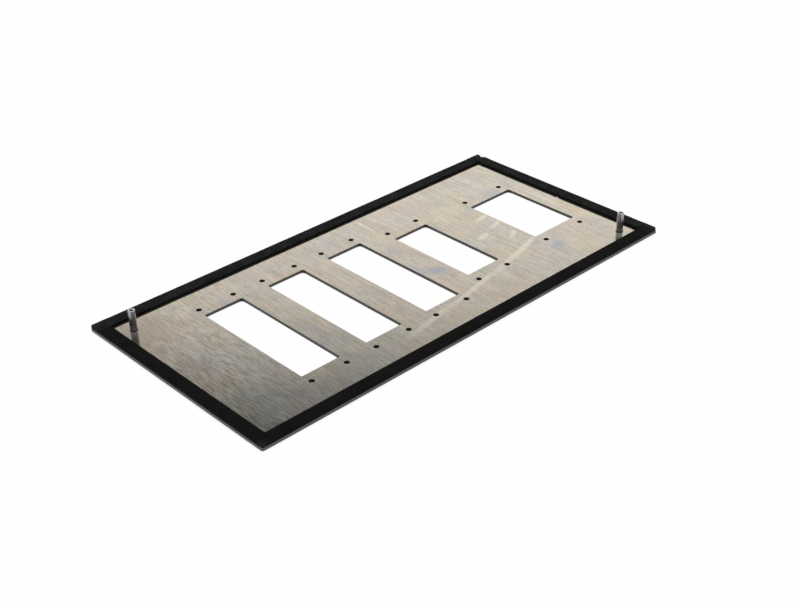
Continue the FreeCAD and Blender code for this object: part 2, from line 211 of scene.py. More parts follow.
def choose(piece, kind, wanted):
    """In edit mode, select the vertices, edges or faces of a kind that pass a test."""
    bpy.ops.mesh.select_all(action="DESELECT")
    bpy.ops.mesh.select_mode(type=kind)
    bpy.ops.object.mode_set(mode="OBJECT")
    mesh = piece.data
    parts = {"VERT": mesh.vertices, "EDGE": mesh.edges, "FACE": mesh.polygons}[kind]
    for part in parts:
        part.select = wanted(part)
    bpy.ops.object.mode_set(mode="EDIT")


def edge_points(piece, edge):
    """The two ends of an edge."""
    return [piece.data.vertices[index].co for index in edge.vertices]


# Effects that several finishes share

def math_node(tree, operation, first, second=None, third=None, clamp=False):
    """A Math node; each operand is a socket or a number."""
    node = tree.nodes.new("ShaderNodeMath")
    node.operation = operation
    node.use_clamp = clamp
    for place, value in enumerate((first, second, third)):
        if value is None:
            continue
        if isinstance(value, bpy.types.NodeSocket):
            tree.links.new(value, node.inputs[place])
        else:
            node.inputs[place].default_value = value
    return node.outputs[0]


def ramp(tree, value, low, high, from_out=0.0, to_out=1.0):
    """A smooth step of a value from low to high."""
    node = tree.nodes.new("ShaderNodeMapRange")
    node.interpolation_type = "SMOOTHSTEP"
    tree.links.new(value, node.inputs["Value"])
    limits = {"From Min": low, "From Max": high, "To Min": from_out, "To Max": to_out}
    for name, number in limits.items():
        if isinstance(number, bpy.types.NodeSocket):
            tree.links.new(number, node.inputs[name])
        else:
            node.inputs[name].default_value = number
    return node.outputs["Result"]


def axes_of(tree, vector):
    """The X, Y and Z of a vector."""
    parts = tree.nodes.new("ShaderNodeSeparateXYZ")
    tree.links.new(vector, parts.inputs["Vector"])
    return parts.outputs["X"], parts.outputs["Y"], parts.outputs["Z"]


def upward(tree):
    """How far the surface faces up, from -1 to 1."""
    return axes_of(tree, tree.nodes.new("ShaderNodeNewGeometry").outputs["Normal"])[2]


def near_edge(tree, value, half, start, full):
    """A mask that rises where a coordinate comes near either end of its range."""
    return ramp(tree, math_node(tree, "ABSOLUTE", value), half - start, half - full)


def mix_colour(tree, factor, first, second, blend="MIX"):
    """A mix of two colours, each a socket or an RGB triple."""
    node = tree.nodes.new("ShaderNodeMix")
    node.data_type = "RGBA"
    node.blend_type = blend
    if isinstance(factor, bpy.types.NodeSocket):
        tree.links.new(factor, node.inputs["Factor"])
    else:
        node.inputs["Factor"].default_value = factor
    for name, value in (("A", first), ("B", second)):
        socket = next(item for item in node.inputs if item.name == name and item.type == "RGBA")
        if isinstance(value, bpy.types.NodeSocket):
            tree.links.new(value, socket)
        else:
            socket.default_value = (*value, 1.0)
    return next(item for item in node.outputs if item.type == "RGBA")


def noise(tree, vector, scale, detail, roughness):
    """Noise over a vector."""
    node = tree.nodes.new("ShaderNodeTexNoise")
    node.inputs["Scale"].default_value = scale
    node.inputs["Detail"].default_value = detail
    node.inputs["Roughness"].default_value = roughness
    tree.links.new(vector, node.inputs["Vector"])
    return node.outputs["Fac"]


def mapped(tree, vector, location=(0, 0, 0), turn=0.0, scale=(1, 1, 1)):
    """The vector seen from a place, with X turned about Z, then stretched."""
    node = tree.nodes.new("ShaderNodeMapping")
    node.vector_type = "TEXTURE"
    node.inputs["Location"].default_value = location
    node.inputs["Rotation"].default_value = (0, 0, turn)
    node.inputs["Scale"].default_value = scale
    tree.links.new(vector, node.inputs["Vector"])
    return node.outputs["Vector"]


def new_group(name, inputs, outputs):
    """An empty shader node group with named inputs and outputs."""
    group = bpy.data.node_groups.new(name, "ShaderNodeTree")
    for socket_name, kind, value in inputs:
        socket = group.interface.new_socket(socket_name, in_out="INPUT", socket_type=kind)
        if value is not None:
            socket.default_value = value
    for socket_name in outputs:
        group.interface.new_socket(socket_name, in_out="OUTPUT", socket_type="NodeSocketFloat")
    return group, group.nodes.new("NodeGroupInput"), group.nodes.new("NodeGroupOutput")


def make_grain_group():
    """Flecks drawn out along Y, fine ones and a coarser set."""
    group, given, result = new_group(
        "drawn_grain",
        [
            ("Vector", "NodeSocketVector", None),
            ("Across", "NodeSocketFloat", 620.0),
            ("Along", "NodeSocketFloat", 90.0),
        ],
        ["Fine", "Coarse"],
    )
    stretch = group.nodes.new("ShaderNodeCombineXYZ")
    group.links.new(given.outputs["Across"], stretch.inputs["X"])
    group.links.new(given.outputs["Along"], stretch.inputs["Y"])
    group.links.new(given.outputs["Along"], stretch.inputs["Z"])
    scaled = group.nodes.new("ShaderNodeVectorMath")
    scaled.operation = "MULTIPLY"
    group.links.new(given.outputs["Vector"], scaled.inputs[0])
    group.links.new(stretch.outputs["Vector"], scaled.inputs[1])
    lines = scaled.outputs["Vector"]
    fine = noise(group, lines, 1.0, 3.0, 0.65)
    coarse = noise(group, lines, 0.35, 2.0, 0.5)
    group.links.new(ramp(group, fine, 0.38, 0.62), result.inputs["Fine"])
    group.links.new(ramp(group, coarse, 0.38, 0.62), result.inputs["Coarse"])
    return group


def make_speckle_group():
    """Small irregular spots over broad soft clouds."""
    group, given, result = new_group(
        "speckle",
        [
            ("Vector", "NodeSocketVector", None),
            ("Spot Scale", "NodeSocketFloat", 900.0),
            ("Cloud Scale", "NodeSocketFloat", 40.0),
        ],
        ["Spots", "Clouds"],
    )
    for name, low, high in (("Spot", 0.38, 0.62), ("Cloud", 0.34, 0.66)):
        node = group.nodes.new("ShaderNodeTexNoise")
        node.inputs["Detail"].default_value = 3.0
        group.links.new(given.outputs["Vector"], node.inputs["Vector"])
        group.links.new(given.outputs[name + " Scale"], node.inputs["Scale"])
        group.links.new(ramp(group, node.outputs["Fac"], low, high), result.inputs[name + "s"])
    return group


def make_rub_group():
    """A rubbed line along its own X, which may sag, is broken up and fades towards one end."""
    group, given, result = new_group(
        "rub_mark",
        [
            ("Vector", "NodeSocketVector", None),
            ("Half Length", "NodeSocketFloat", 0.02),
            ("Half Width", "NodeSocketFloat", 0.0012),
            ("Sag", "NodeSocketFloat", 0.0),
            ("Fade", "NodeSocketFloat", 0.4),
        ],
        ["Mask"],
    )
    along, sideways, _ = axes_of(group, given.outputs["Vector"])
    bow = math_node(group, "MULTIPLY", math_node(group, "MULTIPLY", along, along), given.outputs["Sag"])
    across = math_node(group, "ABSOLUTE", math_node(group, "SUBTRACT", sideways, bow))
    core = math_node(group, "MULTIPLY", given.outputs["Half Width"], 0.25)
    width = ramp(group, across, core, given.outputs["Half Width"], 1.0, 0.0)
    reach = math_node(group, "ABSOLUTE", along)
    inner = math_node(group, "MULTIPLY", given.outputs["Half Length"], 0.45)
    length = ramp(group, reach, inner, given.outputs["Half Length"], 1.0, 0.0)
    share = math_node(group, "DIVIDE", along, given.outputs["Half Length"])
    strength = math_node(group, "MULTIPLY_ADD", share, given.outputs["Fade"], 0.9, clamp=True)
    broken = ramp(group, noise(group, given.outputs["Vector"], 260.0, 3.0, 0.6), 0.30, 0.60, 0.5, 1.0)
    mask = math_node(group, "MULTIPLY", width, length)
    mask = math_node(group, "MULTIPLY", mask, strength)
    mask = math_node(group, "MULTIPLY", mask, broken)
    group.links.new(mask, result.inputs["Mask"])
    return group


def make_blot_group():
    """A soft patch one unit in radius, with a ragged outline."""
    group, given, result = new_group("blot", [("Vector", "NodeSocketVector", None)], ["Mask"])
    length = group.nodes.new("ShaderNodeVectorMath")
    length.operation = "LENGTH"
    group.links.new(given.outputs["Vector"], length.inputs[0])
    uneven = noise(group, given.outputs["Vector"], 1.9, 4.0, 0.6)
    stretch = math_node(group, "MULTIPLY_ADD", uneven, 1.9, 0.1)
    distance = math_node(group, "MULTIPLY", length.outputs["Value"], stretch)
    group.links.new(ramp(group, distance, 0.1, 1.25, 1.0, 0.0), result.inputs["Mask"])
    return group


GRAIN = make_grain_group()
SPECKLE = make_speckle_group()
RUB = make_rub_group()
BLOT = make_blot_group()


def use_group(tree, group, vector, **values):
    """A shared effect placed in a material, with its own values."""
    node = tree.nodes.new("ShaderNodeGroup")
    node.node_tree = group
    tree.links.new(vector, node.inputs["Vector"])
    for name, value in values.items():
        node.inputs[name.replace("_", " ").title()].default_value = value
    return node


def new_material(name, metallic, roughness):
    """A material with its shader's own values set, its tree and its Object coordinates."""
    material = bpy.data.materials.new(name)
    material.use_nodes = True
    tree = material.node_tree
    shader = tree.nodes["Principled BSDF"]
    shader.inputs["Metallic"].default_value = metallic
    shader.inputs["Roughness"].default_value = roughness
    place = tree.nodes.new("ShaderNodeTexCoord").outputs["Object"]
    return material, tree, shader, place


def set_bump(tree, shader, height, distance, strength=1.0):
    """Fine relief from a height that varies over the surface."""
    bump = tree.nodes.new("ShaderNodeBump")
    bump.inputs["Distance"].default_value = distance
    bump.inputs["Strength"].default_value = strength
    tree.links.new(height, bump.inputs["Height"])
    tree.links.new(bump.outputs["Normal"], shader.inputs["Normal"])


def on_sheet(x, y):
    """A place on the sheet, given in millimetres from its left end and near edge."""
    return (x * MM - HALF_LENGTH, y * MM - HALF_WIDTH, SHEET_TOP)


# Rubbed marks: middle, heading in degrees, half length and half width in millimetres, sag and fade
RUBS = (
    ((296.0, 53.5), 14.2, 44.0, 3.9, 0.35, 0.30),
    ((318.0, 60.0), 16.0, 17.0, 2.4, 0.35, 0.25),
    ((225.0, 39.0), 11.2, 58.0, 3.6, 0.35, 0.60),
    ((178.0, 31.5), 11.5, 36.0, 3.6, 0.3, 0.65),
    ((323.5, 116.0), 12.0, 10.0, 3.0, 0.0, 0.60),
    ((324.0, 100.0), 18.0, 9.5, 3.2, 0.0, 0.60),
    ((303.0, 93.0), 18.0, 9.0, 4.2, 0.0, -0.20),
    ((322.5, 79.0), 33.0, 9.0, 3.2, 0.0, 0.60),
    ((246.3, 174.0), 90.0, 15.0, 1.8, 0.0, 0.3),
)

# A stain reaches this far from the sheet's face, so it goes through the sheet
STAIN_DEPTH = 20 * MM

# Stains: middle, half sizes in millimetres, heading in degrees, colour and strength
STAINS = (
    ((26.0, 168.0), (34.0, 30.0), 30.0, STAIN_BROWN, 0.60),
    ((24.0, 108.0), (16.0, 30.0), 0.0, STAIN_BROWN, 0.35),
    ((38.0, 44.0), (34.0, 26.0), 30.0, STAIN_GREEN, 0.38),
    ((90.0, 26.0), (30.0, 14.0), 0.0, STAIN_GREEN, 0.30),
    ((234.0, 126.5), (10.0, 7.0), 10.0, STAIN_BLUE, 0.60),
    ((240.5, 93.0), (9.0, 12.0), 0.0, STAIN_STRAW, 0.45),
    ((236.5, 81.0), (13.0, 7.5), -38.0, STAIN_BLUE, 0.95),
    ((228.0, 94.0), (4.5, 12.0), 12.0, STAIN_BLUE, 0.50),
    ((336.0, 41.5), (10.0, 6.5), 0.0, STAIN_BLUE, 0.95),
    ((344.0, 50.0), (9.0, 5.5), 0.0, STAIN_ROSE, 0.50),
    ((326.0, 57.0), (10.0, 6.0), 0.0, STAIN_MAUVE, 0.60),
    ((366.0, 141.0), (14.0, 8.0), 0.0, STAIN_BLUE, 0.65),
    ((347.0, 150.0), (9.0, 7.0), 0.0, STAIN_BLUE, 0.40),
    ((321.0, 143.0), (9.0, 12.0), 0.0, STAIN_STRAW, 0.30),
    ((207.0, 171.0), (11.0, 9.0), 0.0, STAIN_BLUE, 0.45),
    ((300.0, 170.0), (16.0, 12.0), 0.0, STAIN_ROSE, 0.45),
    ((135.0, 176.0), (12.0, 8.0), 0.0, STAIN_ROSE, 0.40),
    ((92.0, 163.0), (10.0, 8.0), 0.0, STAIN_BLUE, 0.35),
    ((391.0, 62.0), (8.0, 18.0), 0.0, STAIN_STRAW, 0.50),
    ((388.5, 102.0), (4.5, 22.0), -4.0, STAIN_PALE, 0.45),
    ((355.0, 26.0), (18.0, 9.0), 0.0, STAIN_STRAW, 0.35),
    ((174.0, 66.0), (8.0, 10.0), 0.0, STAIN_STRAW, 0.30),
    ((177.0, 58.0), (8.0, 6.0), 0.0, STAIN_BLUE, 0.40),
    ((115.0, 90.0), (9.0, 16.0), 0.0, STAIN_MAUVE, 0.30),
)


def gather(tree, masks):
    """The strongest of several masks."""
    total = masks[0]
    for mask in masks[1:]:
        total = math_node(tree, "MAXIMUM", total, mask)
    return total


def sum_about_half(tree, weighted):
    """Masks added together about one half, each with a weight that is a number or a socket."""
    total = 0.5
    for mask, weight in weighted:
        centred = math_node(tree, "SUBTRACT", mask, 0.5)
        total = math_node(tree, "MULTIPLY_ADD", centred, weight, total)
    return total


def add_stains(tree, place, colour):
    """The sheet's colour with its stains."""
    for (x, y), (half_x, half_y), heading, stain, strength in STAINS:
        size = (half_x * MM, half_y * MM, STAIN_DEPTH)
        seen = mapped(tree, place, on_sheet(x, y), math.radians(heading), size)
        mask = use_group(tree, BLOT, seen).outputs["Mask"]
        colour = mix_colour(tree, math_node(tree, "MULTIPLY", mask, strength), colour, stain)
    return colour


def rubbed_places(tree, place):
    """A mask of the sheet's rubbed marks."""
    masks = []
    for (x, y), heading, half_length, half_width, sag, fade in RUBS:
        seen = mapped(tree, place, on_sheet(x, y), math.radians(heading))
        mark = use_group(
            tree, RUB, seen, half_length=half_length * MM, half_width=half_width * MM, sag=sag, fade=fade
        )
        masks.append(mark.outputs["Mask"])
    return gather(tree, masks)


def add_foot_painted_shade(tree, place, colour):
    """The sheet's colour with a painted contact shadow round the feet of the standoffs."""
    for node in ("standoff_left", "standoff_right"):
        low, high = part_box(node)
        reach = tree.nodes.new("ShaderNodeVectorMath")
        reach.operation = "DISTANCE"
        reach.inputs[1].default_value = ((low.x + high.x) / 2, (low.y + high.y) / 2, SHEET_TOP)
        tree.links.new(place, reach.inputs[0])
        # A painted contact shadow round the foot
        ring = ramp(tree, reach.outputs["Value"], *FOOT_RING, from_out=0.8, to_out=0.0)
        colour = mix_colour(tree, ring, colour, FOOT_PAINTED_SHADE)
    return colour


def make_sheet_metal():
    """Rolled aluminium sheet: nearly a mirror, with flecks, cloudy tints, rubbed marks and stains, and
    painted shade on its cut walls and round the standoffs' feet.
    """
    material, tree, shader, place = new_material(
        "rolled_aluminium_sheet", metallic=0.975, roughness=0.13
    )
    grain = use_group(tree, GRAIN, place, across=740.0, along=95.0)
    speckle = use_group(tree, SPECKLE, place, spot_scale=520.0, cloud_scale=60.0)

    # The streaks and tints take their noise from another place, so they don't follow the flecks
    elsewhere = mapped(tree, place, (0.31, 0.17, 0.05))
    streaks = use_group(tree, GRAIN, elsewhere, across=900.0, along=24.0)
    tints = use_group(tree, SPECKLE, elsewhere, spot_scale=240.0, cloud_scale=36.0)
    at_x, at_y, _ = axes_of(tree, place)

    # The flecks are strongest towards the left end and weakest along the near edge
    fleck_weight = ramp(tree, at_x, 20 * MM - HALF_LENGTH, 130 * MM - HALF_LENGTH, 0.64, 0.24)
    near_calm = ramp(tree, at_y, 18 * MM - HALF_WIDTH, 65 * MM - HALF_WIDTH, 0.5, 1.0)
    fleck_weight = math_node(tree, "MULTIPLY", fleck_weight, near_calm)
    # The sheet is darker towards its left end
    left_end_darkening = ramp(tree, at_x, 10 * MM - HALF_LENGTH, 42 * MM - HALF_LENGTH, 0.12, 0.5)
    shade = sum_about_half(tree, (
        (left_end_darkening, 0.55),
        (grain.outputs["Fine"], fleck_weight),
        (grain.outputs["Coarse"], 0.09),
        (streaks.outputs["Fine"], 0.28),
        (speckle.outputs["Spots"], 0.22),
        (speckle.outputs["Clouds"], 0.13),
    ))
    colour = mix_colour(tree, shade, ALUMINIUM_DARK, ALUMINIUM_LIGHT)
    cloud_tint = mix_colour(tree, tints.outputs["Clouds"], TINT_WARM, TINT_COOL)
    spot_tint = mix_colour(tree, tints.outputs["Spots"], TINT_PINK, TINT_GREEN)
    colour = mix_colour(tree, 1.0, colour, cloud_tint, "MULTIPLY")
    colour = mix_colour(tree, 1.0, colour, spot_tint, "MULTIPLY")

    colour = add_stains(tree, place, colour)
    rubbed = rubbed_places(tree, place)
    colour = mix_colour(tree, math_node(tree, "MULTIPLY", rubbed, 0.95), colour, ALUMINIUM_PALE)
    # A painted contact shadow round the standoffs' feet
    colour = add_foot_painted_shade(tree, place, colour)

    # The sheared outer edge and the walls of the openings are duller than the faces, and the walls of the
    # openings are painted darker still, a painted shade for their hollows
    wall = ramp(tree, math_node(tree, "ABSOLUTE", upward(tree)), 0.75, 0.95, from_out=1.0, to_out=0.0)
    at_end = near_edge(tree, at_x, HALF_LENGTH, RIM_START, RIM_FULL)
    at_side = near_edge(tree, at_y, HALF_WIDTH, RIM_START, RIM_FULL)
    wall_dull_and_shade = mix_colour(tree, math_node(tree, "MAXIMUM", at_end, at_side), CUT_WALL_DULL_AND_SHADE, CUT_EDGE)
    colour = mix_colour(tree, wall, colour, wall_dull_and_shade)
    tree.links.new(colour, shader.inputs["Base Color"])

    roughness = math_node(tree, "MULTIPLY_ADD", grain.outputs["Fine"], 0.04, 0.10)
    roughness = math_node(tree, "MULTIPLY_ADD", rubbed, 0.03, roughness)
    roughness = math_node(tree, "MULTIPLY_ADD", wall, 0.3, roughness)
    tree.links.new(roughness, shader.inputs["Roughness"])
    height = math_node(tree, "MULTIPLY_ADD", speckle.outputs["Spots"], 0.5, grain.outputs["Fine"])
    set_bump(tree, shader, height, 0.0013 * MM)
    return material


def make_foam():
    """Matt black closed-cell foam."""
    material, tree, shader, place = new_material("closed_cell_foam", metallic=0.0, roughness=0.92)
    shader.inputs["Specular IOR Level"].default_value = 0.14
    speckle = use_group(tree, SPECKLE, place, spot_scale=1500.0, cloud_scale=120.0)
    spots, clouds = speckle.outputs["Spots"], speckle.outputs["Clouds"]
    at_x, at_y, _ = axes_of(tree, place)
    colour = mix_colour(tree, clouds, FOAM_BLACK, FOAM_GREY)
    colour = mix_colour(tree, math_node(tree, "MULTIPLY", spots, 0.35), colour, FOAM_GREY)

    # Dust gathers where the frame's corners are handled
    at_end = near_edge(tree, at_x, HALF_LENGTH, CORNER_DUST, 0)
    at_side = near_edge(tree, at_y, HALF_WIDTH, CORNER_DUST, 0)
    dust = math_node(tree, "MULTIPLY", math_node(tree, "MULTIPLY", at_end, at_side), spots)
    colour = mix_colour(tree, dust, colour, FOAM_DUST_AND_LIGHT)

    # The tops of the far strip and the right one are painted lighter: a painted light from the bright far
    # side of the room, uneven with the clouds
    on_right = ramp(tree, at_x, HALF_LENGTH - TOP_LIGHT_START, HALF_LENGTH - TOP_LIGHT_FULL)
    on_far = ramp(tree, at_y, HALF_WIDTH - TOP_LIGHT_START, HALF_WIDTH - TOP_LIGHT_FULL)
    top_light = math_node(tree, "MULTIPLY", math_node(tree, "MAXIMUM", on_right, on_far), upward(tree))
    top_light = math_node(tree, "MULTIPLY", top_light, ramp(tree, clouds, 0.0, 1.0, from_out=0.2, to_out=0.45))
    colour = mix_colour(tree, top_light, colour, FOAM_DUST_AND_LIGHT)
    tree.links.new(colour, shader.inputs["Base Color"])
    cells = tree.nodes.new("ShaderNodeTexVoronoi")
    cells.inputs["Scale"].default_value = 1800.0
    tree.links.new(place, cells.inputs["Vector"])
    set_bump(tree, shader, cells.outputs["Distance"], 0.08 * MM, 0.8)
    return material


def make_bar_metal(name, bright, dull, end, roughness, across, along, foot_painted_shade):
    """Plated metal over drawn bar: marks along Z, bright turned ends and, where asked, a painted contact
    shadow at its foot.
    """
    material, tree, shader, place = new_material(name, metallic=1.0, roughness=roughness)
    turned = tree.nodes.new("ShaderNodeMapping")
    turned.inputs["Rotation"].default_value = (math.radians(90), 0, 0)
    tree.links.new(place, turned.inputs["Vector"])
    grain = use_group(tree, GRAIN, turned.outputs["Vector"], across=across, along=along)
    speckle = use_group(tree, SPECKLE, place, spot_scale=2500.0, cloud_scale=260.0)
    colour = bright
    for worn in (grain.outputs["Fine"], speckle.outputs["Clouds"]):
        colour = mix_colour(tree, math_node(tree, "MULTIPLY", worn, 0.25), colour, dull)
    colour = mix_colour(tree, ramp(tree, upward(tree), 0.5, 0.9), colour, end)
    if foot_painted_shade:
        # A painted contact shadow darkens the bar's foot
        _, _, at_z = axes_of(tree, place)
        foot = ramp(tree, at_z, *FOOT_RISE, from_out=foot_painted_shade, to_out=0.0)
        colour = mix_colour(tree, foot, colour, FOOT_PAINTED_SHADE)
    tree.links.new(colour, shader.inputs["Base Color"])
    rough = math_node(tree, "MULTIPLY_ADD", speckle.outputs["Spots"], 0.08, roughness)
    tree.links.new(rough, shader.inputs["Roughness"])
    set_bump(tree, shader, grain.outputs["Fine"], 0.0008 * MM)
    return material


def add_modifier(piece, name, kind, **values):
    """A modifier that is set up and applied."""
    modifier = piece.modifiers.new(name, kind)
    for key, value in values.items():
        setattr(modifier, key, value)
    select_only(piece)
    bpy.ops.object.modifier_apply(modifier=name)


def cut_off(point, heading):
    """What lies beyond a line is cut off the flat blank."""
    bpy.ops.mesh.select_all(action="SELECT")
    bpy.ops.mesh.bisect(
        plane_co=point, plane_no=heading.normalized(), threshold=CUT_TOLERANCE, clear_outer=True
    )


def make_strip(name, node, outward, tips, seed):
    """A foam strip: a blank as long as its side of the sheet, mitred, raised and softened by hand."""
    low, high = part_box(node)
    thickness = high.z - low.z
    outward = Vector(outward)
    along = Vector((abs(outward.y), abs(outward.x), 0))
    axis = 0 if along.x else 1
    half_run = (HALF_LENGTH, HALF_WIDTH)[axis]
    half_across = (HALF_WIDTH, HALF_LENGTH)[axis]
    middle = outward * (half_across - FOAM_WIDTH / 2)
    clear_selection()
    bpy.ops.mesh.primitive_plane_add(size=1, location=(middle.x, middle.y, low.z))
    piece = bpy.context.object
    piece.name = name
    piece.scale = (2 * half_run, FOAM_WIDTH, 1) if axis == 0 else (FOAM_WIDTH, 2 * half_run, 1)
    settle(piece)
    bpy.ops.object.mode_set(mode="EDIT")

    # Cut the mitres, then the tips
    for end, (lap, outer_loss, mitre_loss) in zip((1, -1), tips):
        heading = along * end
        inner = heading * (half_run - FOAM_WIDTH - MITRE_STEP) + outward * (half_across - FOAM_WIDTH)
        slope = heading * (FOAM_WIDTH - max(lap, 0)) - outward * (FOAM_WIDTH - max(-lap, 0))
        cut_off((inner.x, inner.y, low.z), slope)
        tip = heading * (half_run - outer_loss) + outward * half_across
        slope = heading * mitre_loss + outward * (outer_loss - mitre_loss - MITRE_STEP)
        cut_off((tip.x, tip.y, low.z), slope)

    def is_at_tip(vertex):
        outer = vertex.co.dot(outward) > half_across - TIP_ACROSS
        return outer and abs(vertex.co[axis]) > half_run - TIP_ALONG

    choose(piece, "VERT", is_at_tip)
    bpy.ops.mesh.bevel(offset=TIP_SOFTENING, segments=2, affect="VERTICES")

    # Raise the blank and round its long upper edges
    bpy.ops.mesh.select_mode(type="FACE")
    bpy.ops.mesh.select_all(action="SELECT")
    bpy.ops.mesh.extrude_region_move(TRANSFORM_OT_translate={"value": (0, 0, thickness)})
    bpy.ops.mesh.select_all(action="SELECT")
    bpy.ops.mesh.normals_make_consistent(inside=False)

    def is_long_and_high(edge):
        first, second = edge_points(piece, edge)
        is_high = min(first.z, second.z) > high.z - CUT_TOLERANCE
        return is_high and abs((second - first).dot(along)) > half_run

    choose(piece, "EDGE", is_long_and_high)
    bpy.ops.mesh.bevel(offset=FOAM_EDGE_RADIUS, segments=4, affect="EDGES")

    # Cuts across the strip give it points that can waver, and those points move a little
    free_run = half_run - FOAM_WIDTH - FREE_MARGIN
    steps = int(2 * free_run / FOAM_CUT_SPACING)
    for step in range(steps + 1):
        point = middle + along * (2 * free_run * step / steps - free_run)
        bpy.ops.mesh.select_all(action="SELECT")
        bpy.ops.mesh.bisect(plane_co=point, plane_no=along)

    def is_free(vertex):
        return vertex.co.z > low.z + thickness * FREE_ABOVE and abs(vertex.co[axis]) < free_run - MM

    choose(piece, "VERT", is_free)
    bpy.ops.transform.vertex_random(offset=FOAM_WAVER, uniform=1.0, normal=0.0, seed=seed)
    bpy.ops.mesh.vertices_smooth(factor=0.5, repeat=3, xaxis=True, yaxis=True, zaxis=True)
    bpy.ops.object.mode_set(mode="OBJECT")
    bpy.ops.object.shade_smooth_by_angle(angle=FOAM_SHADE_ANGLE)
    return piece


def nick(piece, size):
    """A small nick pressed into the inner upper edge of the right strip."""
    at, reach, depth, drop = size
    inner_edge = min(vertex.co.x for vertex in piece.data.vertices)
    top = max(vertex.co.z for vertex in piece.data.vertices)
    select_only(piece)
    bpy.ops.object.mode_set(mode="EDIT")
    for place in (at - reach, at, at + reach):
        bpy.ops.mesh.select_all(action="SELECT")
        bpy.ops.mesh.bisect(plane_co=(0, place, 0), plane_no=(0, 1, 0))

    def is_in_nick(vertex):
        on_edge = vertex.co.x < inner_edge + MM and vertex.co.z > top - MM
        return on_edge and abs(vertex.co.y - at) < reach / 2

    choose(piece, "VERT", is_in_nick)
    bpy.ops.transform.translate(value=(depth, 0, -drop))
    bpy.ops.object.mode_set(mode="OBJECT")


def press_tip(piece):
    """The trimmed tip of the right strip, pressed down under its neighbour's."""
    top = max(vertex.co.z for vertex in piece.data.vertices)
    select_only(piece)
    bpy.ops.object.mode_set(mode="EDIT")
    bpy.ops.mesh.select_all(action="SELECT")
    bpy.ops.mesh.bisect(plane_co=(0, HALF_WIDTH - PRESS_START, 0), plane_no=(0, 1, 0))

    def is_tip(vertex):
        return vertex.co.y > HALF_WIDTH - PRESS_FULL and vertex.co.z > top - MM

    choose(piece, "VERT", is_tip)
    bpy.ops.transform.translate(value=(0, 0, -TIP_PRESS))
    bpy.ops.object.mode_set(mode="OBJECT")


def make_thread():
    """One tapped thread as a helical ridge, standing on the origin, for the standoffs to share."""
    clear_selection()
    bpy.ops.mesh.primitive_plane_add(size=1, location=(0, 0, 0))
    ridge = bpy.context.object
    ridge.name = "thread_ridge"
    bpy.ops.object.mode_set(mode="EDIT")
    bpy.ops.mesh.merge(type="CENTER")
    bpy.ops.object.mode_set(mode="OBJECT")
    root, crest = RIDGE_ROOT * THREAD_PITCH, RIDGE_CREST * THREAD_PITCH
    profile = [
        (THREAD_ROOT_RADIUS, -root),
        (THREAD_CORE_RADIUS, -crest),
        (THREAD_CORE_RADIUS, crest),
        (THREAD_ROOT_RADIUS, root),
    ]
    ridge.data.vertices[0].co = (profile[0][0], 0, profile[0][1])
    bpy.ops.object.mode_set(mode="EDIT")
    bpy.ops.mesh.select_mode(type="VERT")
    for (radius, height), (next_radius, next_height) in zip(profile, profile[1:]):
        step = (next_radius - radius, 0, next_height - height)
        bpy.ops.mesh.extrude_region_move(TRANSFORM_OT_translate={"value": step})
    bpy.ops.object.mode_set(mode="OBJECT")
    add_modifier(
        ridge, "turns", "SCREW",
        axis="Z", screw_offset=THREAD_PITCH, iterations=THREAD_TURNS,
        steps=THREAD_STEPS, render_steps=THREAD_STEPS, use_smooth_shade=False,
    )
    return ridge


def copy_of(piece, name):
    """A copy of a piece with a mesh of its own."""
    twin = piece.copy()
    twin.data = piece.data.copy()
    twin.name = name
    bpy.context.scene.collection.objects.link(twin)
    return twin


def make_standoff(name, node, thread):
    """The hexagon bar with its edges broken and a real thread in its upper hole."""
    low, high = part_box(node)
    middle = (low + high) / 2
    clear_selection()
    bar = bpy.data.objects.new(name, NODES[node].data.copy())
    bpy.context.scene.collection.objects.link(bar)
    select_only(bar)
    bpy.ops.object.mode_set(mode="EDIT")
    bpy.ops.mesh.select_all(action="SELECT")
    bpy.ops.mesh.remove_doubles(threshold=BAR_WELD)
    bpy.ops.mesh.dissolve_limited(angle_limit=BAR_FLAT_ANGLE)
    bpy.ops.object.mode_set(mode="OBJECT")
    add_modifier(
        bar, "broken_edges", "BEVEL",
        width=BAR_EDGE_RADIUS, segments=2, limit_method="ANGLE", angle_limit=BAR_EDGE_ANGLE,
    )
    cut = copy_of(thread, name + "_thread")
    cut.location = (middle.x, middle.y, high.z - (THREAD_TURNS + 1) * THREAD_PITCH)
    settle(cut)
    clear_selection()
    cut.select_set(True)
    bar.select_set(True)
    bpy.context.view_layer.objects.active = bar
    bpy.ops.object.join()
    select_only(bar)
    bpy.ops.object.shade_smooth_by_angle(angle=BAR_SHADE_ANGLE)
    return bar


def dress(piece, material):
    """One material all over a piece."""
    piece.data.materials.clear()
    piece.data.materials.append(material)


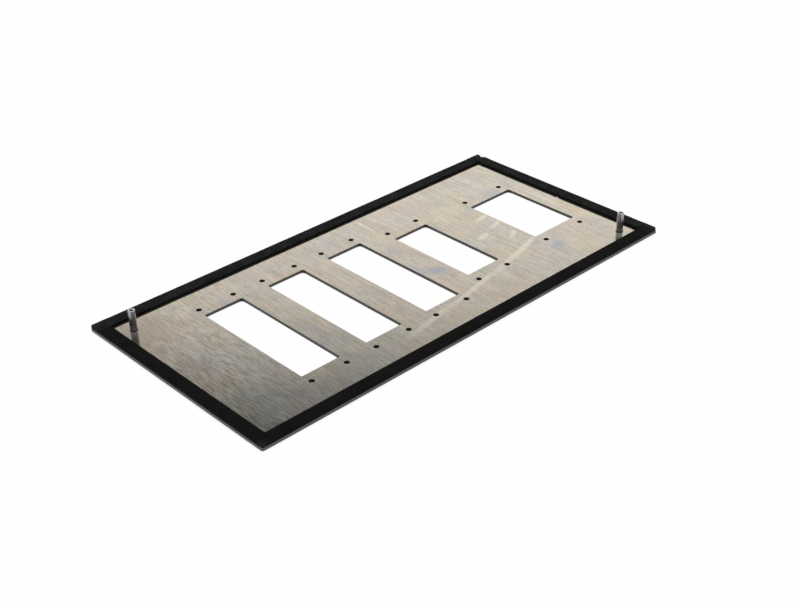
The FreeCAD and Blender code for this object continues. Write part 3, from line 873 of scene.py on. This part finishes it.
def make_floor():
    """A pale floor, white round the object, with its contact shadow."""
    clear_selection()
    bpy.ops.mesh.primitive_plane_add(size=2 * FLOOR_HALF, location=(0, 0, -FLOOR_DROP))
    floor = bpy.context.object
    floor.name = "studio_floor"
    material = bpy.data.materials.new("studio_floor")
    material.use_nodes = True
    tree = material.node_tree
    tree.nodes.clear()
    diffuse = tree.nodes.new("ShaderNodeBsdfDiffuse")
    glow = tree.nodes.new("ShaderNodeEmission")
    rays = tree.nodes.new("ShaderNodeLightPath")
    seen = math_node(tree, "MAXIMUM", rays.outputs["Is Camera Ray"], rays.outputs["Is Glossy Ray"])
    seen = math_node(tree, "MAXIMUM", seen, rays.outputs["Is Transmission Ray"])
    contact = tree.nodes.new("ShaderNodeAmbientOcclusion")
    contact.inputs["Distance"].default_value = CONTACT_REACH
    contact.samples = 8
    open_floor = ramp(tree, contact.outputs["AO"], *CONTACT_RANGE)
    tree.links.new(mix_colour(tree, open_floor, FLOOR_SHADE, FLOOR_WHITE), diffuse.inputs["Color"])
    factor = math_node(tree, "MULTIPLY", math_node(tree, "MULTIPLY", seen, open_floor), FLOOR_GLOW)
    mixed = tree.nodes.new("ShaderNodeMixShader")
    output = tree.nodes.new("ShaderNodeOutputMaterial")
    tree.links.new(factor, mixed.inputs[0])
    tree.links.new(diffuse.outputs[0], mixed.inputs[1])
    tree.links.new(glow.outputs[0], mixed.inputs[2])
    tree.links.new(mixed.outputs[0], output.inputs["Surface"])
    dress(floor, material)


def colour_stops(tree, value, stops):
    """A colour ramp: a place from 0 to 1 and a colour for each stop."""
    node = tree.nodes.new("ShaderNodeValToRGB")
    tree.links.new(value, node.inputs["Fac"])
    elements = node.color_ramp.elements
    while len(elements) < len(stops):
        elements.new(1.0)
    for element, (place, colour) in zip(elements, stops):
        element.position = place
        element.color = (*colour, 1.0)
    return node.outputs["Color"]


def make_room():
    """A soft studio: bright low down and overhead, with a darker band between."""
    world = bpy.data.worlds.new("studio")
    bpy.context.scene.world = world
    world.use_nodes = True
    tree = world.node_tree
    background = tree.nodes["Background"]
    direction = tree.nodes.new("ShaderNodeTexCoord").outputs["Generated"]
    at_x, at_y, height = axes_of(tree, direction)
    far_x = math_node(tree, "MULTIPLY", at_x, math.cos(FAR_HEADING))
    far_y = math_node(tree, "MULTIPLY", at_y, math.sin(FAR_HEADING))
    far_share = ramp(tree, math_node(tree, "ADD", far_x, far_y), -0.55, 0.55)
    far_side = colour_stops(tree, height, FAR_SIDE)
    near_side = colour_stops(tree, height, NEAR_SIDE)
    tree.links.new(mix_colour(tree, far_share, near_side, far_side), background.inputs["Color"])


def make_lamp():
    """One broad soft lamp overhead."""
    light = bpy.data.lights.new("overhead_softbox", "AREA")
    light.shape = "SQUARE"
    light.size = LAMP_SIZE
    light.energy = LAMP_POWER
    lamp = bpy.data.objects.new("overhead_softbox", light)
    lamp.location = LAMP_PLACE
    lamp.rotation_euler = Vector(LAMP_PLACE).to_track_quat("Z", "Y").to_euler()
    lamp.visible_glossy = False
    bpy.context.scene.collection.objects.link(lamp)


def make_camera():
    """The camera at the photograph's place."""
    data = bpy.data.cameras.new("camera")
    data.lens = CAMERA_LENS
    data.sensor_width = SENSOR_WIDTH
    data.clip_start = 0.01
    data.clip_end = 100.0
    camera = bpy.data.objects.new("camera", data)
    camera.location = [value * MM for value in CAMERA_PLACE]
    camera.rotation_euler = Euler([math.radians(value) for value in CAMERA_TURN])
    bpy.context.scene.collection.objects.link(camera)
    bpy.context.scene.camera = camera


make_camera()
make_room()
make_lamp()
make_floor()
bpy.context.scene.view_settings.view_transform = "Standard"

sheet_metal = make_sheet_metal()
foam = make_foam()
# The nickel bar gets a painted contact shadow at its foot
nickel = make_bar_metal(
    "nickel_plated_bar", NICKEL, NICKEL_DULL, NICKEL_END,
    roughness=0.24, across=1400.0, along=130.0, foot_painted_shade=0.65,
)
zinc = make_bar_metal(
    "zinc_plated_screw", ZINC, ZINC_DULL, ZINC,
    roughness=0.3, across=1600.0, along=300.0, foot_painted_shade=0.0,
)

dress(NODES["panel_plate"], sheet_metal)
for screw in ("standoff_screw_left", "standoff_screw_right"):
    dress(NODES[screw], zinc)

# Piece, the node that it stands for, the way its outer edge faces, the forms of its two tips, and its seed
STRIPS = (
    ("foam_strip_far", "gasket_far", (0, 1, 0), (LAPPING_TIP, ROUNDED_TIP), 3),
    ("foam_strip_near", "gasket_near", (0, -1, 0), (BLUNT_TIP, ROUNDED_TIP), 5),
    ("foam_strip_left", "gasket_left", (-1, 0, 0), (ROUNDED_TIP, ROUNDED_TIP), 7),
    ("foam_strip_right", "gasket_right", (1, 0, 0), (TRIMMED_TIP, BLUNT_TIP), 11),
)
for name, node, outward, tips, seed in STRIPS:
    strip = make_strip(name, node, outward, tips, seed)
    if name == "foam_strip_right":
        nick(strip, RIGHT_NICK)
        press_tip(strip)
    dress(strip, foam)
    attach(strip, "root")
    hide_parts(node)

thread = make_thread()
for name, node in (("hex_standoff_left", "standoff_left"), ("hex_standoff_right", "standoff_right")):
    standoff = make_standoff(name, node, thread)
    dress(standoff, nickel)
    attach(standoff, "root")
    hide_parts(node)
bpy.data.objects.remove(thread)
